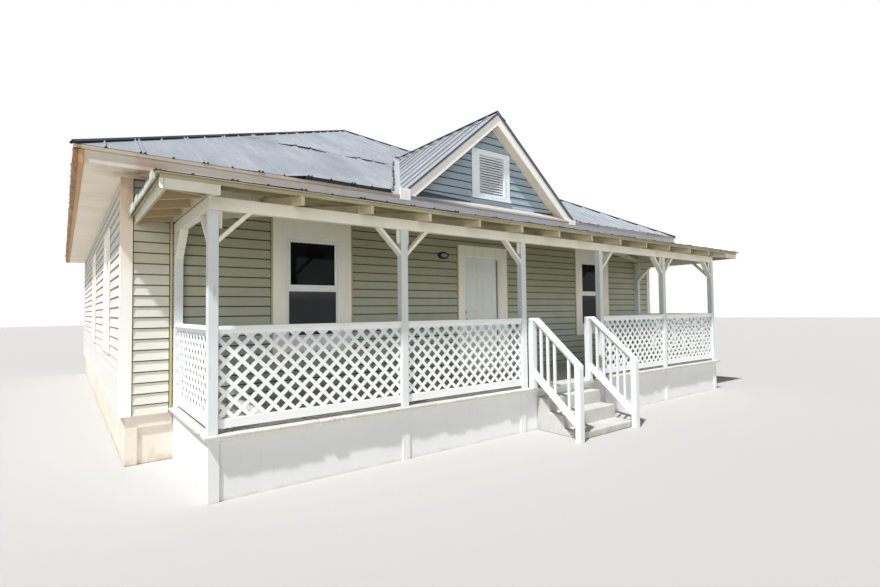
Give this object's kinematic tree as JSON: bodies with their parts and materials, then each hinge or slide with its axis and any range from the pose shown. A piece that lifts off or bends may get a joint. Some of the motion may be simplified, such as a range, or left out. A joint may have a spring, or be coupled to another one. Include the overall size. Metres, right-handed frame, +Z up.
{
  "type": "bungalow",
  "caption": "Single-storey bungalow with a hipped metal roof, a front cross gable, a full-width porch with lattice railings, stair rails and a hinged front door.",
  "frame": {"origin": "centre of the footprint's box, on the ground", "axes": "+Y from the porch steps to the back wall, +X to the right as seen from the steps, +Z up"},
  "size_m": [12.114, 14.557, 6.7236],
  "materials": {
    "siding": "satin lapped boards",
    "trim": "white paint",
    "vinyl": "white, smooth",
    "glass": "clear",
    "door": "pale grey paint",
    "hardware": "black",
    "hinge": "brushed",
    "lamp": "black enamel",
    "soffit": "beige paint",
    "roof": "ribbed sheet, weathered",
    "deck": "grey paint, worn",
    "skirt": "white paint",
    "lattice": "white",
    "foundation": "painted masonry",
    "concrete": "cast concrete",
    "floor": "boards",
    "ceiling": "white, matt"
  },
  "bodies": {
    "house": {"foundation": "foundation", "house_floor": "floor", "ceiling": "ceiling", "front_wall_left": "siding", "front_wall_right": "siding", "front_wall_over_door": "siding", "left_wall": "siding", "right_wall": "siding", "back_wall": "siding", "corner_boards": "trim", "window_trim": "trim", "window_frames": "vinyl", "window_sashes": "vinyl", "window_glass": "glass", "door_frame": "trim", "door_hinges": "hinge", "wall_lamp": "lamp", "soffits": "soffit", "fascia": "trim", "main_roof": "roof", "roof_caps": "roof", "gable_wall": "siding", "gable_roof": "roof", "gable_rake_boards": "trim", "gable_vent": "trim", "porch_floor": "deck", "porch_skirt": "skirt", "porch_posts": "trim", "porch_beams": "trim", "knee_braces": "trim", "rafters": "trim", "porch_roof_edge": "trim", "porch_purlins": "trim", "porch_roof": "roof", "porch_rails": "trim", "lattice_1": "lattice", "lattice_2": "lattice", "lattice_3": "lattice", "lattice_4": "lattice", "lattice_left": "lattice", "lattice_right": "lattice", "steps": "concrete", "stair_posts": "trim", "stair_rails": "trim", "stair_balusters": "trim"},
    "door": {"front_door": "door", "door_hardware": "hardware"}
  },
  "joints": [
    {"name": "front_door_hinge", "type": "hinge", "parent": "house", "child": "door", "pos_m": [0.4345, -4.4612, 1.6], "axis": [0, 0, -1], "range_deg": [0, 100]}
  ]
}
